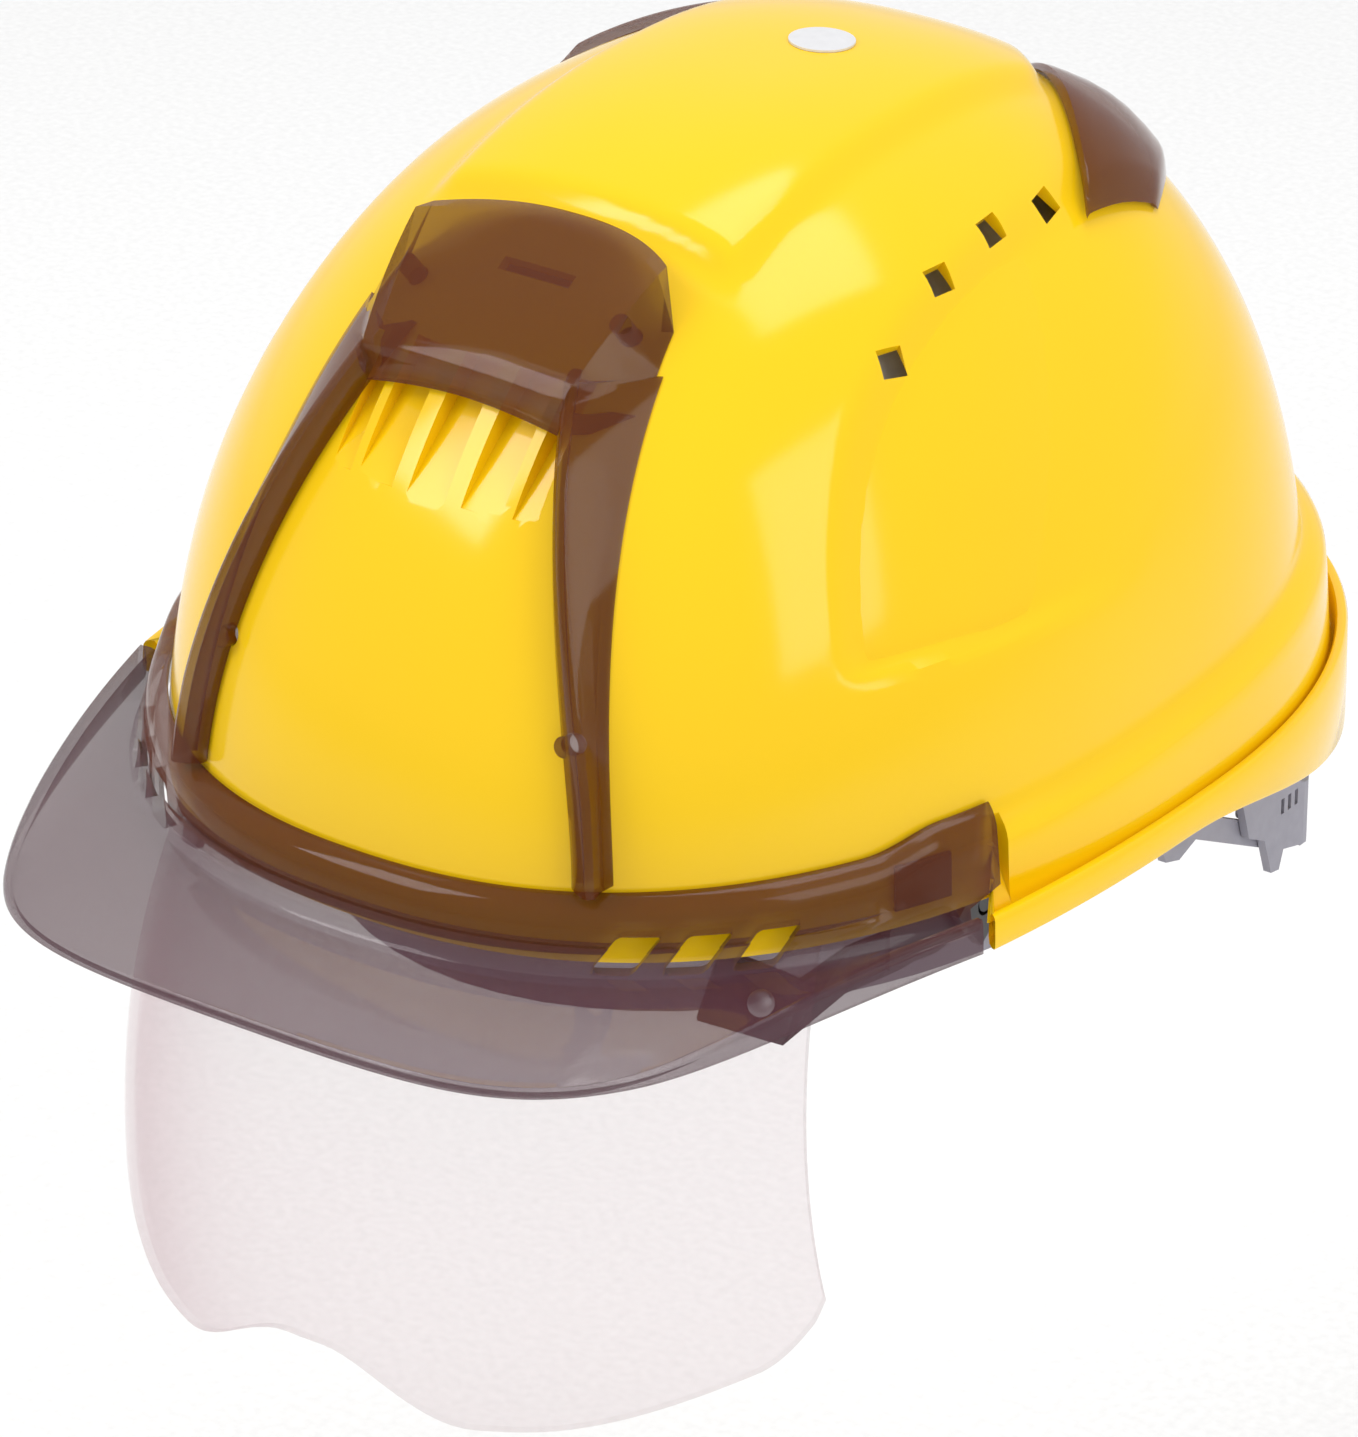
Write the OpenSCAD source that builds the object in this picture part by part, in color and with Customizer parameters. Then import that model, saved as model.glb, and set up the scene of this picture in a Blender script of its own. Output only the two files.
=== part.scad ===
// Vented industrial hard hat with a clear swing-down face shield.
// Millimetres. +Z up, the brim points to -Y, +X is the wearer's left.
// Origin: centre of the head opening, level with the seat plane of the headband.

/* [Shell size] */
// half width of the dome at its base
dome_half_w = 97.3; // [90:0.1:104]
// dome centre to the front of the dome
dome_front = 130.2; // [120:0.1:140]
// dome centre to the rear of the dome
dome_rear = 110.6; // [100:0.1:122]
// height of the crown above the seat plane
crown_z = 153.6; // [140:0.1:165]
// height at which the dome is widest
base_z = 18.4; // [10:0.1:30]
// wall thickness of the shell
wall = 2.4; // [2:0.1:3.5]

/* [Shell shape] */
// squareness of the plan, front half
plan_exp_front = 2.27; // [2:0.01:3]
// squareness of the plan, rear half
plan_exp_rear = 2.35; // [2:0.01:3]
// roundness of the side profile
exp_side = 2.55; // [2:0.01:3]
// roundness of the front profile
exp_front = 2.42; // [2:0.01:3]
// roundness of the rear profile
exp_rear = 2.56; // [2:0.01:3]
// roundness towards the crown
exp_up = 2.21; // [1.8:0.01:3]
// height of the raised crown ridge
crest_rise = 2.6; // [0:0.1:5]
// half width of the raised crown ridge
crest_half_w = 30; // [20:0.5:40]
// depth of the recessed side panels
panel_depth = 2.8; // [0:0.1:4]

/* [Rim and gutter] */
// height of the step where the skirt starts
ledge_z = 48; // [44:0.1:52]
// rise of that step per millimetre towards the rear
ledge_slope = 0.048; // [0:0.001:0.1]
// how far the skirt stands out from the dome
skirt_out = 4.2; // [3:0.1:6]
// half width of the outer lip
lip_half_w = 104.7; // [102:0.1:110]
// dome centre to the rear of the outer lip
lip_rear = 123.5; // [118:0.1:130]
// height of the top of the lip
lip_top = 33; // [30:0.1:36]
// underside of the lip at the sides
lip_low_side = 26; // [22:0.1:28]
// underside of the lip at the nape
lip_low_rear = 10.5; // [6:0.1:20]
// angle from the side axis at which the visor ends
visor_end = 35; // [30:0.5:42]

/* [Visor] */
// underside of the front rim of the shell behind the visor band
front_rim_z = 29; // [27:0.1:31]
// reach of the brim in front of the dome centre
brim_reach = 166.2; // [155:0.1:180]
// height of the brim edge underside
brim_z = 22.5; // [18:0.1:26]
// thickness of the brim plate
brim_thick = 2.4; // [2:0.1:3.5]
// length of the band window slots
window_len = 11; // [8:0.5:14]

/* [Face shield] */
// distance of the swing axis behind the dome centre
axis_y = 6.1; // [0:0.1:20]
// height of the swing axis
axis_z = -50.4; // [-60:0.1:-30]
// radius of the shield about the swing axis at its centre
shield_r = 154.4; // [148:0.1:158]
// how much that radius drops 80 mm to the side
shield_drop = 46.1; // [36:0.1:50]
// half width of the shield at its lower corners
shield_half_w = 83.6; // [78:0.1:85]
// thickness of the shield
shield_thick = 1.8; // [1.5:0.1:2.5]
// radius of the curved track that carries the shield arms
track_r = 90; // [86:0.5:92]
// swing from lowered to raised, in degrees
shield_travel = 44; // [30:1:46]

/* [Harness] */
// half width of the head
head_half_w = 75.5; // [70:0.5:80]
// half length of the head
head_half_l = 97; // [92:0.5:102]
// height of the cradle above the seat plane
cradle_top = 96; // [88:0.5:100]
// height of the headband
band_tall = 30; // [24:0.5:36]
// thickness of the headband
band_thick = 1.8; // [1.5:0.1:2.5]

/* [Hidden] */
$fn = 28;
lip_exp = 2.23;
lip_wall = 2.4;
tiny = 0.01;
clear_gap = 0.3;
skirt_cols = 32;
front_cols = 24;
dome_rows = 14;
inner_rows = 7;
end_slant = 3.6;
pin_angle_a = 54;
pin_angle_b = 68;
pin_r = 2.4;
track_play = 0.15;
arm_in = 78.6;
arm_out = 80.6;
track_in = 81.2;
track_out = 83.4;

// ---------- small helpers ----------
function mix(a, b, t) = a + (b - a) * t;
function smooth(a, b, v) = let(t = min(1, max(0, (v - a) / (b - a)))) t * t * (3 - 2 * t);
function flat(l) = [for (r = l) for (p = r) p];

// solid between an outer and an inner grid of points, [column][row], whichever way they run
module thick_sheet(o, i) {
  n = len(o); m = len(o[0]); q = n * m;
  c0 = floor((n - 2) / 2); r0 = floor((m - 2) / 2);
  flip = cross(o[c0 + 1][r0] - o[c0][r0], o[c0][r0 + 1] - o[c0][r0]) * (o[c0][r0] - i[c0][r0]) > 0;
  function v(c, r, s) = s * q + c * m + r;
  faces = concat(
    [for (c = [0:n - 2], r = [0:m - 2]) each [
      [v(c, r, 0), v(c + 1, r, 0), v(c + 1, r + 1, 0)], [v(c, r, 0), v(c + 1, r + 1, 0), v(c, r + 1, 0)],
      [v(c, r, 1), v(c + 1, r + 1, 1), v(c + 1, r, 1)], [v(c, r, 1), v(c, r + 1, 1), v(c + 1, r + 1, 1)]]],
    [for (c = [0:n - 2]) each [
      [v(c, 0, 0), v(c, 0, 1), v(c + 1, 0, 1)], [v(c, 0, 0), v(c + 1, 0, 1), v(c + 1, 0, 0)],
      [v(c, m - 1, 0), v(c + 1, m - 1, 1), v(c, m - 1, 1)], [v(c, m - 1, 0), v(c + 1, m - 1, 0), v(c + 1, m - 1, 1)]]],
    [for (r = [0:m - 2]) each [
      [v(0, r, 0), v(0, r + 1, 0), v(0, r + 1, 1)], [v(0, r, 0), v(0, r + 1, 1), v(0, r, 1)],
      [v(n - 1, r, 0), v(n - 1, r + 1, 1), v(n - 1, r + 1, 0)], [v(n - 1, r, 0), v(n - 1, r, 1), v(n - 1, r + 1, 1)]]]);
  polyhedron(points = concat(flat(o), flat(i)), faces = flip ? [for (f = faces) [f[0], f[2], f[1]]] : faces, convexity = 8);
}

// closed bowl: columns of points from the outer crown, round the rim, to the inner crown
module bowl(cols, pole_out, pole_in) {
  n = len(cols); m = len(cols[0]);
  function v(c, r) = (c % n) * m + r;
  faces = concat(
    [for (c = [0:n - 1], r = [0:m - 2]) each [
      [v(c, r), v(c + 1, r), v(c + 1, r + 1)], [v(c, r), v(c + 1, r + 1), v(c, r + 1)]]],
    [for (c = [0:n - 1]) [n * m, v(c + 1, 0), v(c, 0)]],
    [for (c = [0:n - 1]) [n * m + 1, v(c, m - 1), v(c + 1, m - 1)]]);
  polyhedron(points = concat(flat(cols), [pole_out, pole_in]), faces = faces, convexity = 8);
}

// ---------- dome surface, d is the distance outside it ----------
function plan_r(a, d) =
  let(e = sin(a) < 0 ? plan_exp_front : plan_exp_rear)
  pow(pow(abs(cos(a)) / (dome_half_w + d), e)
    + pow(abs(sin(a)) / ((sin(a) < 0 ? dome_front : dome_rear) + d), e), -1 / e);
function round_exp(a) = mix(exp_side, sin(a) < 0 ? exp_front : exp_rear, sin(a) * sin(a));
function dome_ph(a, ph, d) =
  let(r = plan_r(a, d) * pow(cos(ph), 2 / round_exp(a)))
  [r * cos(a), r * sin(a), base_z + (crown_z + d - base_z) * pow(sin(ph), 2 / exp_up)];
function dome_at(a, z, d) =
  let(k = z <= base_z ? 1 : max(tiny, 1 - pow((z - base_z) / (crown_z + d - base_z), exp_up)),
      r = plan_r(a, d) * pow(k, 1 / round_exp(a)))
  [r * cos(a), r * sin(a), z];
function top_z(x, y, d) =
  let(a = atan2(y, x), q = norm([x, y]) / plan_r(a, d))
  base_z + (crown_z + d - base_z) * pow(max(0, 1 - pow(q, round_exp(a))), 1 / exp_up);
function turn(x, z, d, t, k) =
  k == 0 ? t : turn(x, z, d, asin(max(-1, min(1, x / norm([for (j = [0:1]) dome_at(t - 90, z, d)[j]])))), k - 1);
function side_x(y, z, d) =
  let(e = y < 0 ? plan_exp_front : plan_exp_rear, k = pow(1 - pow((z - base_z) / (crown_z + d - base_z), exp_up), 1 / exp_side))
  (dome_half_w + d) * pow(pow(k, e) - pow(abs(y) / ((y < 0 ? dome_front : dome_rear) + d), e), 1 / e);
function front_at(x, z, d) = let(t = turn(x, z, d, 0, 8)) dome_at(t - 90, z, d);

// ---------- relief of the outer skin ----------
function crest(p) = crest_rise * (1 - smooth(crest_half_w - 1, crest_half_w + 7, abs(p[0])))
  * smooth(-61, -54, p[1]) * smooth(95, 120, p[2]) * (1 - smooth(rear_y0(p[0]) - 10, rear_y0(p[0]) - 1.5, p[1]));
function panel_q(y, z) = pow(abs(min(0, y - 15)) / 96, 2.6) + pow(max(0, z - 60) / 78.5, 2.6);
function panel(p) = -panel_depth * smooth(-1, 6, (1 - pow(panel_q(p[1], p[2]), 1 / 2.6)) * 85)
  * smooth(74.5, 79, p[2] + 0.03 * p[1]) * (1 - smooth(0, 1, (p[1] + 50 - 0.6 * (p[2] - 77)) / (45 + 0.3 * (p[2] - 77))))
  * smooth(40, 48, abs(p[0]));
function relief(p) = crest(p) + panel(p);

// ---------- lip outline ----------
function lip_pt(a, d, z) =
  let(r = pow(pow(abs(cos(a)) / (lip_half_w + d), lip_exp)
    + pow(abs(sin(a)) / ((sin(a) < 0 ? lip_rear + 60 : lip_rear) + d), lip_exp), -1 / lip_exp))
  [r * cos(a), r * sin(a), z];
function lip_low(a) = mix(lip_low_side, lip_low_rear, smooth(-0.1, 0.75, sin(a)));
function floor_z(a) = mix(30, 26, smooth(-0.3, 0.7, sin(a)));
function ledge(a) = ledge_z + ledge_slope * plan_r(a, 0) * sin(a);

// one column of the shell: s = 0 behind the visor band, s = 1 where the skirt and gutter are open
function shell_col(a, s) =
  let(zl = ledge(a), fl = floor_z(a), ll = lip_low(a), fz = front_rim_z,
      b = s == 1 ? 90 + (a - 90) * (1 - end_slant / (90 + visor_end)) : -90 + (a + 90) * (1 + end_slant / (90 - visor_end)),
      ph_l = asin(pow((zl + 1.5 - base_z) / (crown_z - base_z), exp_up / 2)),
      ph_i = asin(pow((zl - 3 - base_z) / (crown_z - wall - base_z), exp_up / 2)))
  concat(
    [for (i = [0:dome_rows]) let(ph = mix(86.5, ph_l, i / dome_rows), p = dome_ph(a, ph, 0)) dome_ph(a, ph, relief(p))],
    s == 1 ? [
      dome_at(b, zl + 0.4, skirt_out * 0.35), dome_at(b, zl - 1.2, skirt_out * 0.8), dome_at(b, zl - 3.6, skirt_out),
      dome_at(b, fl + 2, skirt_out + 0.3), dome_at(b, fl, skirt_out + 1),
      lip_pt(a, -lip_wall - 0.5, fl), lip_pt(a, -lip_wall, fl + 1), lip_pt(a, -lip_wall, lip_top - 0.7),
      lip_pt(a, -lip_wall / 2, lip_top), lip_pt(a, 0, lip_top - 0.7), lip_pt(a, 0.2, ll + 0.8),
      lip_pt(a, -lip_wall / 2, ll), lip_pt(a, -lip_wall, ll + 0.4), lip_pt(a, -lip_wall - 0.4, min(fl - wall, ll + 3)),
      dome_at(b, fl - wall, skirt_out - wall + 0.6), dome_at(b, fl, skirt_out - wall), dome_at(b, zl - 6, skirt_out - wall)
    ] : [
      for (t = [0:0.09:0.99]) dome_at(b, mix(zl, fz + 0.6, t), 0), dome_at(b, fz, -0.6),
      dome_at(b, fz, -wall / 2), dome_at(b, fz, 0.4 - wall), dome_at(b, fz + 0.6, -wall), dome_at(b, zl - 6, -wall)],
    [for (i = [0:inner_rows]) let(ph = mix(ph_i, 86.5, i / inner_rows)) dome_ph(a, ph, -wall)]);

front_angles = [for (i = [0:front_cols]) mix(-180 + visor_end + 0.35, -visor_end - 0.35, i / front_cols)];
rear_angles = [for (i = [0:skirt_cols]) mix(-visor_end + 0.35, 180 + visor_end - 0.35, i / skirt_cols)];

side_vents = [[59.6, -45.6], [56.5, -26.2], [55.3, -7.4], [56, 10.2]];
cover_pegs = [[-39, 70], [39, 70], [-24, 132], [24, 132]];
rear_pegs = [[-34, 80], [34, 80]];
track_screw_yz = [[-30, 42.5], [50, 36]];
liner_xy = [[-30, -34], [30, -34], [-30, 34], [30, 34]];
nape_slope = 26.6;

inlets = [[-12, 8.4], [0, 8.4], [12, 8.4], [-20.6, 4.6], [20.6, 4.6]];

module side_vent(x, y, s) {
  z = top_z(x, y, -1.5);
  translate([s * x, y, z]) rotate([0, s * 38, 0]) rotate([-y * 0.35 - 6, 0, s * (y * 0.5 + 8)])
    cube([5, 6, 14], center = true);
}
module aimed(p, n) {
  // turns the local z axis to the direction n at the point p
  translate(p) rotate([0, acos(n[2] / norm(n)), atan2(n[1], n[0])]) children();
}
function front_normal(x, z) = let(n = front_at(x, z, 5) - front_at(x, z, -5)) n / norm(n) + [0, 0, 1.6 * pow((z - base_z) / (crown_z - base_z), 2)];
module peg_at(x, z, r, from, len) aimed(front_at(x, z, 0), front_normal(x, z)) translate([0, 0, from]) cylinder(r = r, h = len);
module rear_peg(p, r, from, len) aimed([p[0], p[1], top_z(p[0], p[1], 0)], [p[0] / 90, p[1] / 90, 1]) translate([0, 0, from]) cylinder(r = r, h = len);

// ---------- shell ----------
// air channels that deepen upward and open under the top of the front cover
inlet_low = 105;
inlet_high = 126;
inlet_depth = 7;
function inlet_run(x) = front_at(x, inlet_high, 0)[1] - front_at(x, inlet_low, 0)[1];
module channel_prism(x, w, section) {
  p = front_at(x, inlet_low, 0);
  n = front_at(x, inlet_low, 5) - front_at(x, inlet_low, -5);
  translate([p[0], p[1], 0]) rotate([0, 0, atan2(n[0], -n[1])]) rotate([90, 0, 90]) linear_extrude(w, center = true) polygon(section);
}
module shell_body() {
  difference() {
    union() {
      bowl([for (a = front_angles) shell_col(a, 0), for (a = rear_angles) shell_col(a, 1)],
        [0, 0, crown_z + crest_rise], [0, 0, crown_z - wall]);
      for (s = [-1, 1], p = track_screw_yz) translate([s * (track_out + 0.1), p[0], p[1]])
        rotate([0, s * 90, 0]) cylinder(r = 4, h = side_x(p[0], p[1], skirt_out - wall + 1) - track_out);
      for (p = inlets) channel_prism(p[0], p[1] + 4.4,
        [[1.5, inlet_low + 0.3], [inlet_run(p[0]) + 1, inlet_high], [inlet_run(p[0]) + inlet_depth + 1.8, inlet_high], [3.2, inlet_low - 1.5]]);
    }
    for (s = [-1, 1], p = side_vents) side_vent(p[0], p[1], s);
    for (p = inlets) channel_prism(p[0], p[1],
      [[0, inlet_low], [-4, inlet_low + 1], [inlet_run(p[0]) - 6, inlet_high], [inlet_run(p[0]) + inlet_depth, inlet_high]]);
    // slot under the top plate of the front cover
    translate([0, -74, 139]) rotate([34, 0, 0]) cube([16, 3, 16], center = true);
    for (p = cover_pegs) peg_at(p[0], p[1], 2.15, -6, 12);
    for (p = rear_pegs) rear_peg(p, 2.15, -6, 12);
    for (s = [-1, 1], p = track_screw_yz) translate([s * track_out, p[0], p[1]])
      rotate([0, s * 90, 0]) cylinder(r = 1.35, h = 3.6);
  }
}
module shell() color([0.98, 0.78, 0.05]) shell_body();

// ---------- visor: band and brim in one moulding ----------
visor_cols = 32;
window_a = -66;
function bez(p, t) = pow(1 - t, 3) * p[0] + 3 * pow(1 - t, 2) * t * p[1] + 3 * (1 - t) * t * t * p[2] + t * t * t * p[3];
function brim_edge(t) = let(u = abs(t), p = bez([[0, -brim_reach], [67.2, -brim_reach], [71.8, 3.2 - brim_reach], [98.6, -71.3]], u))
  [t < 0 ? -p[0] : p[0], p[1]];
function band_top(a) = ledge(a) + 1.2 + 2.6 * smooth(-0.72, -0.62, sin(a));
function visor_col(t) =
  let(a = -90 + t * (90 - visor_end + end_slant - 1), b = -90 + t * (90 - visor_end - 0.9), zt = band_top(a), u = abs(t),
      e2 = brim_edge(t), n2 = [e2[0], e2[1] + 40] / norm([e2[0], e2[1] + 40]),
      zb = mix(brim_z, 26.2, smooth(0.6, 1, u)), ze = zb + mix(2.1, 7, smooth(0.5, 1, u)),
      root = dome_at(b, 29.8, 7), under = dome_at(b, 27, 5),
      e = [e2[0] - 1.2 * n2[0], e2[1] - 1.2 * n2[1], ze])
  [[ for (q = [[0.5, zt], [1.9, zt - 0.5], [3.8, zt - 2.4], [4.6, zt - 6], [5.5, 35]]) dome_at(a, q[1], q[0]), dome_at(b, 32.3, 5.8),
     root, for (k = [0.35, 0.7]) mix(root, e, k) + [0, 0, 0.8 * sin(180 * k)], e,
     [e2[0] - 0.3 * n2[0], e2[1] - 0.3 * n2[1], ze - 0.7], [e2[0], e2[1], zb] ],
   [ for (q = [[clear_gap, zt - 1.4], [0.9, zt - 2.4], [1.8, zt - 4.4], [2.4, zt - 7], [3.2, 35]]) dome_at(a, q[1], q[0]), dome_at(b, 30.6, 3.6),
     under, for (k = [0.35, 0.7]) mix(root, e, k) + [0, 0, 0.8 * sin(180 * k) - brim_thick],
     [e[0] - 1.4 * n2[0], e[1] - 1.4 * n2[1], ze - brim_thick],
     [e2[0] - 2.6 * n2[0], e2[1] - 2.6 * n2[1], mix(ze - brim_thick, zb, 0.5)], [e2[0] - 2.2 * n2[0], e2[1] - 2.2 * n2[1], zb - 0.01] ]];
module visor() color([0.35, 0.2, 0.12, 0.8]) difference() {
  c = [for (i = [-visor_cols / 2:visor_cols / 2]) visor_col(2 * i / visor_cols)];
  thick_sheet([for (q = c) q[0]], [for (q = c) q[1]]);
  for (s = [0, 1], k = [0:2]) mirror([s, 0, 0]) aimed(dome_at(window_a + 5.6 * k, 33.6, 4), [cos(window_a + 5.6 * k), sin(window_a + 5.6 * k), 0])
    multmatrix([[1, 0, 0, 0], [-0.75, 1, 0, 0], [0, 0, 1, 0]]) cube([6.6, window_len * 0.72, 12], center = true);
}
module visor_clips() color([0.1, 0.1, 0.11])
  for (s = [0, 1]) mirror([s, 0, 0]) thick_sheet(
    [for (a = [-43:1:-37]) [for (z = [33.5, 42]) dome_at(a, z, 1.5)]], [for (a = [-43:1:-37]) [for (z = [33.5, 42]) dome_at(a, z, 0.4)]]);

// ---------- front vent cover ----------
ridge_out = 6;
cover_wall = 2;
function leg_in(z) = 42.2 - 20.7 * pow(max(0, (z - 43.5) / 75), 1.5);
function leg_out(z) = 48.4 - 17 * pow(max(0, (z - 43) / 91), 1.28);
function ridge_x(z) = min(leg_out(z) - 0.8, leg_in(z) + mix(5.6, 4.4, smooth(60, 120, z)));
function leg_row(z) = let(i = leg_in(z), r = ridge_x(z), o = leg_out(z), w = cover_wall)
  [[[i, clear_gap], [i + 0.3, 1.5], [r, ridge_out], [r + 0.9, ridge_out - 0.2], [o, clear_gap]],
   [[i + w, clear_gap], [i + w + 0.2, 1], [r, ridge_out - w - 0.4], [r + 0.6, ridge_out - w - 0.6], [o - w, clear_gap]]];
leg_z = [for (i = [0:12]) mix(44.6, 127.4, i / 12)];
top_half = [-1, -0.93, -0.66, -0.33, 0, 0.33, 0.66, 0.93, 1];
top_rows = [0, 0.3, 0.48, 0.66, 0.84, 1];
function top_rise(k, v) = mix(1.6, mix(mix(6, 3.2, smooth(0.4, 1, v)), mix(6, 8, v), pow(abs(k) / 0.93, 2.5)), smooth(0, 0.3, v));
function bend(v, p) = v < 0.3 ? mix(p[0], p[1], v / 0.3) : mix(p[1], p[2], (v - 0.3) / 0.7);
function top_pt(k, v, dd, inset) =
  let(m = abs(k) > 0.95, x = m ? (bend(v, [26, 33.2, 30.5]) - inset) * k : (bend(v, [21.4, 22.8, 27.3]) - inset * 0.5) * k / 0.93,
      z = m ? bend(v, [119, 122.5, 133]) : bend(v, [121.2, 128.4, 144.8]) - bend(v, [2.4, 1.3, 1.2]) * pow(k / 0.93, 2))
  front_at(x, z, m ? clear_gap : top_rise(k, v) - dd);
module cover_top() thick_sheet(
  [for (k = top_half) [for (v = top_rows) top_pt(k, v, 0, 0)]],
  [for (k = top_half) [for (v = top_rows) top_pt(k, v, cover_wall - 0.6 * (1 - smooth(0, 0.3, v)), cover_wall)]]);
module front_vent_cover() color([0.35, 0.2, 0.12, 0.8]) {
  for (s = [0, 1]) mirror([s, 0, 0]) thick_sheet(
    [for (z = leg_z) [for (q = leg_row(z)[0]) front_at(q[0], z, q[1])]],
    [for (z = leg_z) [for (q = leg_row(z)[1]) front_at(q[0], z, q[1])]]);
  cover_top();
  for (p = cover_pegs) peg_at(p[0], p[1], 2, -4, p[1] > 100 ? 9.2 : 7.4);
}

// ---------- rear vent cover ----------
function rear_y0(x) = 80 - 64 * pow(abs(x) / 62, 1.15);
function rear_y1(x) = 96 - 55 * pow(abs(x) / 62, 2.4);
rear_rows = [[0, 0], [0.06, 1], [0.35, 1.3], [0.65, 1.3], [0.94, 1], [1, 0]];
function rear_pt(x, v, top) =
  let(u = mix(rear_y0(x), rear_y1(x), top ? v[0] : mix(0.08, 0.92, v[0])), e = (0.5 + 0.5 * smooth(15, 42, abs(x))) * (1 - 0.75 * smooth(0.93, 1, abs(x) / 62)),
      d = top ? 0.9 + 2.6 * v[1] * e : 0.5 + 1.1 * min(1, v[1]) * e)
  [x, u, top_z(x, u, d)];
module rear_vent_cover() color([0.35, 0.2, 0.12, 0.8]) {
  xs = [for (i = [-12:12]) 62 * i / 12];
  thick_sheet([for (x = xs) [for (v = rear_rows) rear_pt(x, v, true)]], [for (x = xs) [for (v = rear_rows) rear_pt(x * 0.985, v, false)]]);
  for (p = rear_pegs) rear_peg(p, 2, -4, 6.4);
}
label_xy = [4.6, 12];
label_r = 6.4;
function label_pt(u, v, d) = let(x = label_xy[0] + label_r * u * sqrt(1 - v * v / 2), y = label_xy[1] + label_r * v * sqrt(1 - u * u / 2))
  [x, y, top_z(x, y, crest_rise) + d];
module crown_label() color([0.85, 0.85, 0.87]) thick_sheet(
  [for (u = [-1:0.25:1]) [for (v = [-1:0.25:1]) label_pt(u, v, 0.5)]], [for (u = [-1:0.25:1]) [for (v = [-1:0.25:1]) label_pt(u, v, 0.06)]]);

// ---------- face shield, a band of a surface turned about the swing axis ----------
function shield_rho(x) = shield_r - shield_drop * pow(abs(x) / 80, 2.25);
function shield_slope(x) = -2.25 * shield_drop / 80 * pow(abs(x) / 80, 1.25);
function shield_pt(x, f, d) =
  let(g = shield_slope(x), n = norm([g, 1]), q = shield_rho(x) + d / n, xx = x - (x < 0 ? -1 : 1) * g * d / n)
  [xx, axis_y - q * cos(f), axis_z + q * sin(f)];
// lower and upper edge angle, and half width at an angle
function shield_low(x) = let(u = abs(x)) -0.4 - 4.5 * smooth(4, 34, u) + 6.2 * pow(max(0, (u - 42) / 42), 2)
  + 5 * pow(max(0, (u - 75) / 8.6), 2);
function shield_high(x) = 30.8 + 9 * pow(abs(x) / 80, 2.4);
function shield_w(f) = min(shield_half_w, 84.8 - 0.325 * f);
shield_cols = 30;
shield_rows = 8;
function shield_grid(i, j, d) =
  let(k = sin(180 * i / shield_cols), x0 = shield_half_w * k, f = mix(shield_low(x0), shield_high(x0), j / shield_rows))
  shield_pt(shield_w(f) * k, f, d);
module shield_sheet() thick_sheet(
  [for (i = [-shield_cols / 2:shield_cols / 2]) [for (j = [0:shield_rows]) shield_grid(i, j, 0)]],
  [for (i = [-shield_cols / 2:shield_cols / 2]) [for (j = [0:shield_rows]) shield_grid(i, j, -shield_thick)]]);
rivet_x = 67;
rivet_f = 33.5;
module shield_rivet(r, from, len) {
  p = shield_pt(rivet_x, rivet_f, 0);
  aimed(p, shield_pt(rivet_x, rivet_f, 1) - p) translate([0, 0, from]) cylinder(r = r, h = len);
}
module face_shield() color([0.85, 0.82, 0.85, 0.35]) difference() {
  shield_sheet();
  for (s = [0, 1]) mirror([s, 0, 0]) shield_rivet(1.7, -6, 12);
}
module yz_plate(x0, x1) translate([x0, 0, 0]) rotate([90, 0, 90]) linear_extrude(x1 - x0) children();
function at(r, f) = [axis_y - r * cos(f), axis_z + r * sin(f)];
module arc_band(r0, r1, f0, f1) polygon([for (i = [0:12]) at(r0, mix(f0, f1, i / 12)), for (i = [12:-1:0]) at(r1, mix(f0, f1, i / 12))]);
// arc slot of half width w with round ends
module arc_slot(w, f0, f1) polygon([
  for (i = [0:14]) at(track_r + w, mix(f0, f1, i / 14)), for (i = [1:7]) at(track_r, f1) + w * [-cos(f1 + 22.5 * i), sin(f1 + 22.5 * i)],
  for (i = [14:-1:0]) at(track_r - w, mix(f0, f1, i / 14)), for (i = [1:7]) at(track_r, f0) + w * [-cos(f0 + 180 + 22.5 * i), sin(f0 + 180 + 22.5 * i)]]);
module at_track(f, r = track_r) translate([axis_y - r * cos(f), axis_z + r * sin(f)]) children();
module arm_half() {
  yz_plate(arm_in, arm_out) {
    arc_slot(5.5, pin_angle_a, pin_angle_b);
    polygon([[-75, 19], [-75, 27], [-66, 33], [-52, 33], [-42, 22], [-50, 16], [-60, 16]]);
  }
  for (f = [pin_angle_a, pin_angle_b]) yz_plate(arm_out - 0.5, track_out - 0.2) at_track(f) circle(r = pin_r);
  ps = [for (x = [60:2.4:72]) [x, -shield_thick - 0.55]];
  q = concat([for (p = ps) [shield_pt(p[0], 30.5, p[1]), shield_pt(p[0], 36.5, p[1])]],
    [[[75.3, -81.5, 15.5], [75.3, -80, 24]], [[79.6, -75.3, 17.5], [79.6, -75, 26]], [[80.6, -70, 17.5], [80.6, -70, 26]], [[80.6, -62, 17.5], [80.6, -62, 26]]]);
  nn = [for (k = [0:len(q) - 1]) let(t = q[min(k + 1, len(q) - 1)][0] - q[max(k - 1, 0)][0]) [t[1], -t[0], 0] / norm([t[0], t[1]])];
  thick_sheet(q, [for (k = [0:len(q) - 1]) [for (j = [0, 1]) q[k][j] - 1.7 * nn[k]]]);
}
module shield_arm() color([0.16, 0.16, 0.18]) difference() { arm_half(); shield_rivet(1.7, -9, 12); }
module shield_arm_left() shield_arm();
module shield_arm_right() mirror([1, 0, 0]) shield_arm();
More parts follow.
